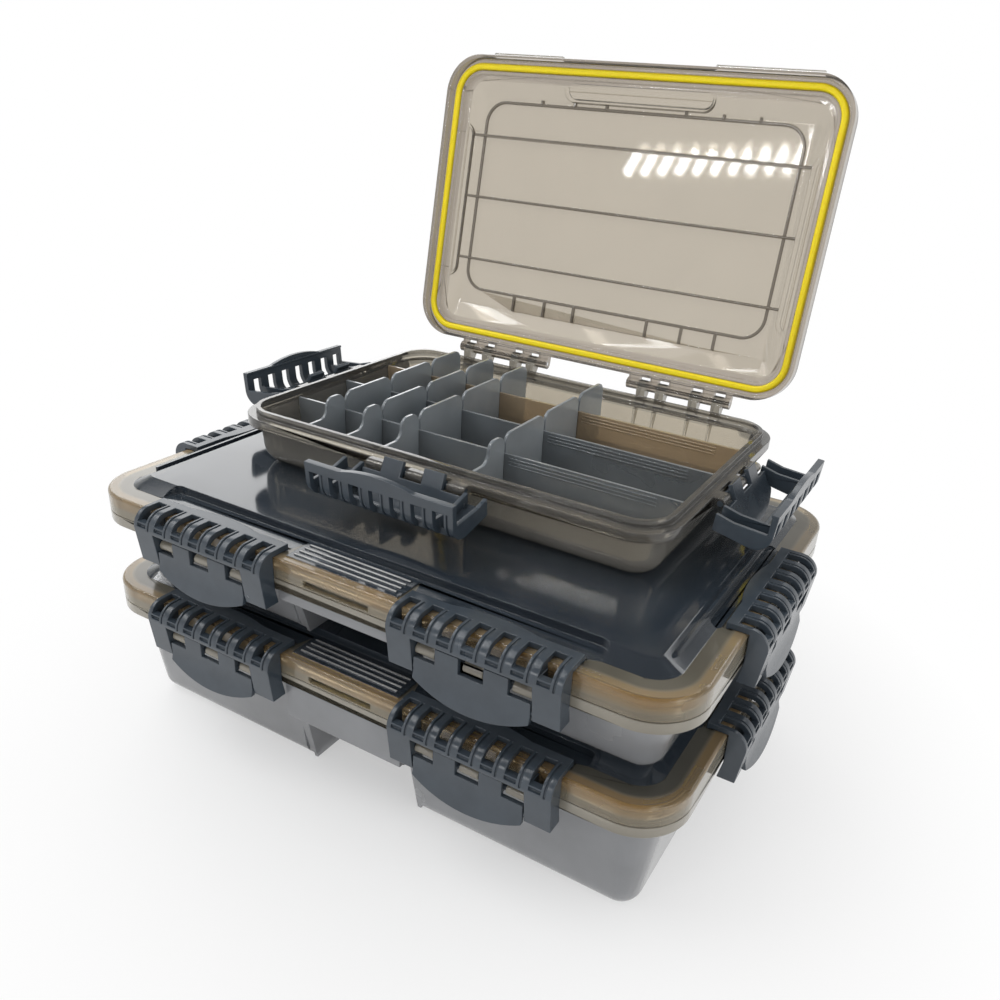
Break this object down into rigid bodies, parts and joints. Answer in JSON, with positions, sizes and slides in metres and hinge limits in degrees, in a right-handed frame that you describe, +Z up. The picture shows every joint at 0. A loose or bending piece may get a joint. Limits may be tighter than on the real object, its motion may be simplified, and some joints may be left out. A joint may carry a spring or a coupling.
{
  "type": "fishing tackle box stack",
  "caption": "Stack of hinged, gasketed, translucent tackle boxes with comb-shaped over-centre latches; the small top box stands open on lift-out dividers.",
  "frame": {"origin": "centre of the deep box's flat base", "axes": "+X along the length to the right, +Y to the hinges at the back, +Z up"},
  "size_m": [0.368, 0.2963, 0.3559],
  "materials": {
    "smoky_tray": "smoke-tinted translucent plastic, moulded gloss",
    "smoky_lid": "smoke-tinted translucent plastic, moulded gloss",
    "gasket_rubber": "soft yellow rubber",
    "pin_steel": "drawn steel pin",
    "latch_plastic": "satin slate plastic",
    "divider_plastic": "satin slate-blue translucent plastic"
  },
  "bodies": {
    "deep_box": {"deep_tray": "smoky_tray", "deep_lid": "smoky_lid", "deep_gasket": "gasket_rubber", "deep_hinge_pin_left": "pin_steel", "deep_hinge_pin_right": "pin_steel"},
    "shallow_box": {"shallow_tray": "smoky_tray", "shallow_lid": "smoky_lid", "shallow_gasket": "gasket_rubber", "shallow_hinge_pin_left": "pin_steel", "shallow_hinge_pin_right": "pin_steel"},
    "small_box": {"small_tray": "smoky_tray", "small_hinge_pin_left": "pin_steel", "small_hinge_pin_right": "pin_steel"},
    "small_box_lid": {"small_lid": "smoky_lid", "small_gasket": "gasket_rubber"},
    "deep_lever_front_left": {"deep_lever_front_left": "latch_plastic"},
    "deep_hook_front_left": {"deep_hook_front_left": "latch_plastic"},
    "deep_lever_front_right": {"deep_lever_front_right": "latch_plastic"},
    "deep_hook_front_right": {"deep_hook_front_right": "latch_plastic"},
    "deep_lever_right": {"deep_lever_right": "latch_plastic"},
    "deep_hook_right": {"deep_hook_right": "latch_plastic"},
    "deep_lever_left": {"deep_lever_left": "latch_plastic"},
    "deep_hook_left": {"deep_hook_left": "latch_plastic"},
    "shallow_lever_front_left": {"shallow_lever_front_left": "latch_plastic"},
    "shallow_hook_front_left": {"shallow_hook_front_left": "latch_plastic"},
    "shallow_lever_front_right": {"shallow_lever_front_right": "latch_plastic"},
    "shallow_hook_front_right": {"shallow_hook_front_right": "latch_plastic"},
    "shallow_lever_right": {"shallow_lever_right": "latch_plastic"},
    "shallow_hook_right": {"shallow_hook_right": "latch_plastic"},
    "shallow_lever_left": {"shallow_lever_left": "latch_plastic"},
    "shallow_hook_left": {"shallow_hook_left": "latch_plastic"},
    "small_lever_front": {"small_lever_front": "latch_plastic"},
    "small_hook_front": {"small_hook_front": "latch_plastic"},
    "small_lever_right": {"small_lever_right": "latch_plastic"},
    "small_hook_right": {"small_hook_right": "latch_plastic"},
    "small_lever_left": {"small_lever_left": "latch_plastic"},
    "small_hook_left": {"small_hook_left": "latch_plastic"},
    "wall_1": {"wall_1": "divider_plastic"},
    "wall_2": {"wall_2": "divider_plastic"},
    "wall_3": {"wall_3": "divider_plastic"},
    "paddle_1_1": {"paddle_1_1": "divider_plastic"},
    "paddle_1_2": {"paddle_1_2": "divider_plastic"},
    "paddle_1_3": {"paddle_1_3": "divider_plastic"},
    "paddle_1_4": {"paddle_1_4": "divider_plastic"},
    "paddle_2_1": {"paddle_2_1": "divider_plastic"},
    "paddle_2_2": {"paddle_2_2": "divider_plastic"},
    "paddle_2_3": {"paddle_2_3": "divider_plastic"},
    "paddle_2_4": {"paddle_2_4": "divider_plastic"},
    "paddle_3_1": {"paddle_3_1": "divider_plastic"},
    "paddle_3_2": {"paddle_3_2": "divider_plastic"},
    "paddle_3_3": {"paddle_3_3": "divider_plastic"},
    "paddle_3_4": {"paddle_3_4": "divider_plastic"},
    "paddle_4_1": {"paddle_4_1": "divider_plastic"},
    "paddle_4_2": {"paddle_4_2": "divider_plastic"},
    "paddle_4_3": {"paddle_4_3": "divider_plastic"},
    "paddle_4_4": {"paddle_4_4": "divider_plastic"}
  },
  "joints": [
    {"name": "shallow_box_lift", "type": "slide", "parent": "deep_box", "child": "shallow_box", "axis": [0, 0, 1], "range_m": [0, 0.06]},
    {"name": "small_box_lift", "type": "slide", "parent": "shallow_box", "child": "small_box", "axis": [0, 0, 1], "range_m": [0, 0.06]},
    {"name": "small_lid_hinge", "type": "hinge", "parent": "small_box", "child": "small_box_lid", "pos_m": [0.0017, 0.13515, 0.1746], "axis": [-1, 0, 0], "range_deg": [-101, 0]},
    {"name": "deep_lever_front_left_pivot", "type": "hinge", "parent": "deep_box", "child": "deep_lever_front_left", "pos_m": [-0.08, -0.115, 0.0645], "axis": [-1, 0, 0], "range_deg": [0, 25]},
    {"name": "deep_hook_front_left_pivot", "type": "hinge", "parent": "deep_lever_front_left", "child": "deep_hook_front_left", "pos_m": [-0.08, -0.117, 0.0565], "axis": [-1, 0, 0], "range_deg": [-120, 0]},
    {"name": "deep_lever_front_right_pivot", "type": "hinge", "parent": "deep_box", "child": "deep_lever_front_right", "pos_m": [0.08, -0.115, 0.0645], "axis": [-1, 0, 0], "range_deg": [0, 25]},
    {"name": "deep_hook_front_right_pivot", "type": "hinge", "parent": "deep_lever_front_right", "child": "deep_hook_front_right", "pos_m": [0.08, -0.117, 0.0565], "axis": [-1, 0, 0], "range_deg": [-120, 0]},
    {"name": "deep_lever_right_pivot", "type": "hinge", "parent": "deep_box", "child": "deep_lever_right", "pos_m": [0.177, 0, 0.0645], "axis": [0, -1, 0], "range_deg": [0, 25]},
    {"name": "deep_hook_right_pivot", "type": "hinge", "parent": "deep_lever_right", "child": "deep_hook_right", "pos_m": [0.179, 0, 0.0565], "axis": [0, -1, 0], "range_deg": [-120, 0]},
    {"name": "deep_lever_left_pivot", "type": "hinge", "parent": "deep_box", "child": "deep_lever_left", "pos_m": [-0.177, 0, 0.0645], "axis": [0, 1, 0], "range_deg": [0, 25]},
    {"name": "deep_hook_left_pivot", "type": "hinge", "parent": "deep_lever_left", "child": "deep_hook_left", "pos_m": [-0.179, 0, 0.0565], "axis": [0, 1, 0], "range_deg": [-120, 0]},
    {"name": "shallow_lever_front_left_pivot", "type": "hinge", "parent": "shallow_box", "child": "shallow_lever_front_left", "pos_m": [-0.08, -0.115, 0.1195], "axis": [-1, 0, 0], "range_deg": [0, 25]},
    {"name": "shallow_hook_front_left_pivot", "type": "hinge", "parent": "shallow_lever_front_left", "child": "shallow_hook_front_left", "pos_m": [-0.08, -0.117, 0.1115], "axis": [-1, 0, 0], "range_deg": [-120, 0]},
    {"name": "shallow_lever_front_right_pivot", "type": "hinge", "parent": "shallow_box", "child": "shallow_lever_front_right", "pos_m": [0.08, -0.115, 0.1195], "axis": [-1, 0, 0], "range_deg": [0, 25]},
    {"name": "shallow_hook_front_right_pivot", "type": "hinge", "parent": "shallow_lever_front_right", "child": "shallow_hook_front_right", "pos_m": [0.08, -0.117, 0.1115], "axis": [-1, 0, 0], "range_deg": [-120, 0]},
    {"name": "shallow_lever_right_pivot", "type": "hinge", "parent": "shallow_box", "child": "shallow_lever_right", "pos_m": [0.177, 0, 0.1195], "axis": [0, -1, 0], "range_deg": [0, 25]},
    {"name": "shallow_hook_right_pivot", "type": "hinge", "parent": "shallow_lever_right", "child": "shallow_hook_right", "pos_m": [0.179, 0, 0.1115], "axis": [0, -1, 0], "range_deg": [-120, 0]},
    {"name": "shallow_lever_left_pivot", "type": "hinge", "parent": "shallow_box", "child": "shallow_lever_left", "pos_m": [-0.177, 0, 0.1195], "axis": [0, 1, 0], "range_deg": [0, 25]},
    {"name": "shallow_hook_left_pivot", "type": "hinge", "parent": "shallow_lever_left", "child": "shallow_hook_left", "pos_m": [-0.179, 0, 0.1115], "axis": [0, 1, 0], "range_deg": [-120, 0]},
    {"name": "small_lever_front_pivot", "type": "hinge", "parent": "small_box", "child": "small_lever_front", "pos_m": [0.0017, -0.05095, 0.165], "axis": [-1, 0, 0], "range_deg": [-25, 0]},
    {"name": "small_hook_front_pivot", "type": "hinge", "parent": "small_lever_front", "child": "small_hook_front", "pos_m": [0.0017, -0.05614, 0.1586], "axis": [-1, 0, 0], "range_deg": [0, 120]},
    {"name": "small_lever_right_pivot", "type": "hinge", "parent": "small_box", "child": "small_lever_right", "pos_m": [0.1362, 0.0413, 0.165], "axis": [0, -1, 0], "range_deg": [-25, 0]},
    {"name": "small_hook_right_pivot", "type": "hinge", "parent": "small_lever_right", "child": "small_hook_right", "pos_m": [0.14139, 0.0413, 0.1586], "axis": [0, -1, 0], "range_deg": [0, 120]},
    {"name": "small_lever_left_pivot", "type": "hinge", "parent": "small_box", "child": "small_lever_left", "pos_m": [-0.1328, 0.0413, 0.165], "axis": [0, 1, 0], "range_deg": [-25, 0]},
    {"name": "small_hook_left_pivot", "type": "hinge", "parent": "small_lever_left", "child": "small_hook_left", "pos_m": [-0.13799, 0.0413, 0.1586], "axis": [0, 1, 0], "range_deg": [0, 120]},
    {"name": "wall_1_lift", "type": "slide", "parent": "small_box", "child": "wall_1", "axis": [0, 0, 1], "range_m": [0, 0.045]},
    {"name": "wall_2_lift", "type": "slide", "parent": "small_box", "child": "wall_2", "axis": [0, 0, 1], "range_m": [0, 0.045]},
    {"name": "wall_3_lift", "type": "slide", "parent": "small_box", "child": "wall_3", "axis": [0, 0, 1], "range_m": [0, 0.045]},
    {"name": "paddle_1_1_lift", "type": "slide", "parent": "small_box", "child": "paddle_1_1", "axis": [0, 0, 1], "range_m": [0, 0.045]},
    {"name": "paddle_1_2_lift", "type": "slide", "parent": "small_box", "child": "paddle_1_2", "axis": [0, 0, 1], "range_m": [0, 0.045]},
    {"name": "paddle_1_3_lift", "type": "slide", "parent": "small_box", "child": "paddle_1_3", "axis": [0, 0, 1], "range_m": [0, 0.045]},
    {"name": "paddle_1_4_lift", "type": "slide", "parent": "small_box", "child": "paddle_1_4", "axis": [0, 0, 1], "range_m": [0, 0.045]},
    {"name": "paddle_2_1_lift", "type": "slide", "parent": "small_box", "child": "paddle_2_1", "axis": [0, 0, 1], "range_m": [0, 0.045]},
    {"name": "paddle_2_2_lift", "type": "slide", "parent": "small_box", "child": "paddle_2_2", "axis": [0, 0, 1], "range_m": [0, 0.045]},
    {"name": "paddle_2_3_lift", "type": "slide", "parent": "small_box", "child": "paddle_2_3", "axis": [0, 0, 1], "range_m": [0, 0.045]},
    {"name": "paddle_2_4_lift", "type": "slide", "parent": "small_box", "child": "paddle_2_4", "axis": [0, 0, 1], "range_m": [0, 0.045]},
    {"name": "paddle_3_1_lift", "type": "slide", "parent": "small_box", "child": "paddle_3_1", "axis": [0, 0, 1], "range_m": [0, 0.045]},
    {"name": "paddle_3_2_lift", "type": "slide", "parent": "small_box", "child": "paddle_3_2", "axis": [0, 0, 1], "range_m": [0, 0.045]},
    {"name": "paddle_3_3_lift", "type": "slide", "parent": "small_box", "child": "paddle_3_3", "axis": [0, 0, 1], "range_m": [0, 0.045]},
    {"name": "paddle_3_4_lift", "type": "slide", "parent": "small_box", "child": "paddle_3_4", "axis": [0, 0, 1], "range_m": [0, 0.045]},
    {"name": "paddle_4_1_lift", "type": "slide", "parent": "small_box", "child": "paddle_4_1", "axis": [0, 0, 1], "range_m": [0, 0.045]},
    {"name": "paddle_4_2_lift", "type": "slide", "parent": "small_box", "child": "paddle_4_2", "axis": [0, 0, 1], "range_m": [0, 0.045]},
    {"name": "paddle_4_3_lift", "type": "slide", "parent": "small_box", "child": "paddle_4_3", "axis": [0, 0, 1], "range_m": [0, 0.045]},
    {"name": "paddle_4_4_lift", "type": "slide", "parent": "small_box", "child": "paddle_4_4", "axis": [0, 0, 1], "range_m": [0, 0.045]}
  ],
  "couplings": [
    {"joint": "deep_hook_front_left_pivot", "follows": "deep_lever_front_left_pivot", "ratio": -4.8},
    {"joint": "deep_hook_front_right_pivot", "follows": "deep_lever_front_right_pivot", "ratio": -4.8},
    {"joint": "deep_hook_right_pivot", "follows": "deep_lever_right_pivot", "ratio": -4.8},
    {"joint": "deep_hook_left_pivot", "follows": "deep_lever_left_pivot", "ratio": -4.8},
    {"joint": "shallow_hook_front_left_pivot", "follows": "shallow_lever_front_left_pivot", "ratio": -4.8},
    {"joint": "shallow_hook_front_right_pivot", "follows": "shallow_lever_front_right_pivot", "ratio": -4.8},
    {"joint": "shallow_hook_right_pivot", "follows": "shallow_lever_right_pivot", "ratio": -4.8},
    {"joint": "shallow_hook_left_pivot", "follows": "shallow_lever_left_pivot", "ratio": -4.8},
    {"joint": "small_hook_front_pivot", "follows": "small_lever_front_pivot", "ratio": -4.8},
    {"joint": "small_hook_right_pivot", "follows": "small_lever_right_pivot", "ratio": -4.8},
    {"joint": "small_hook_left_pivot", "follows": "small_lever_left_pivot", "ratio": -4.8}
  ]
}
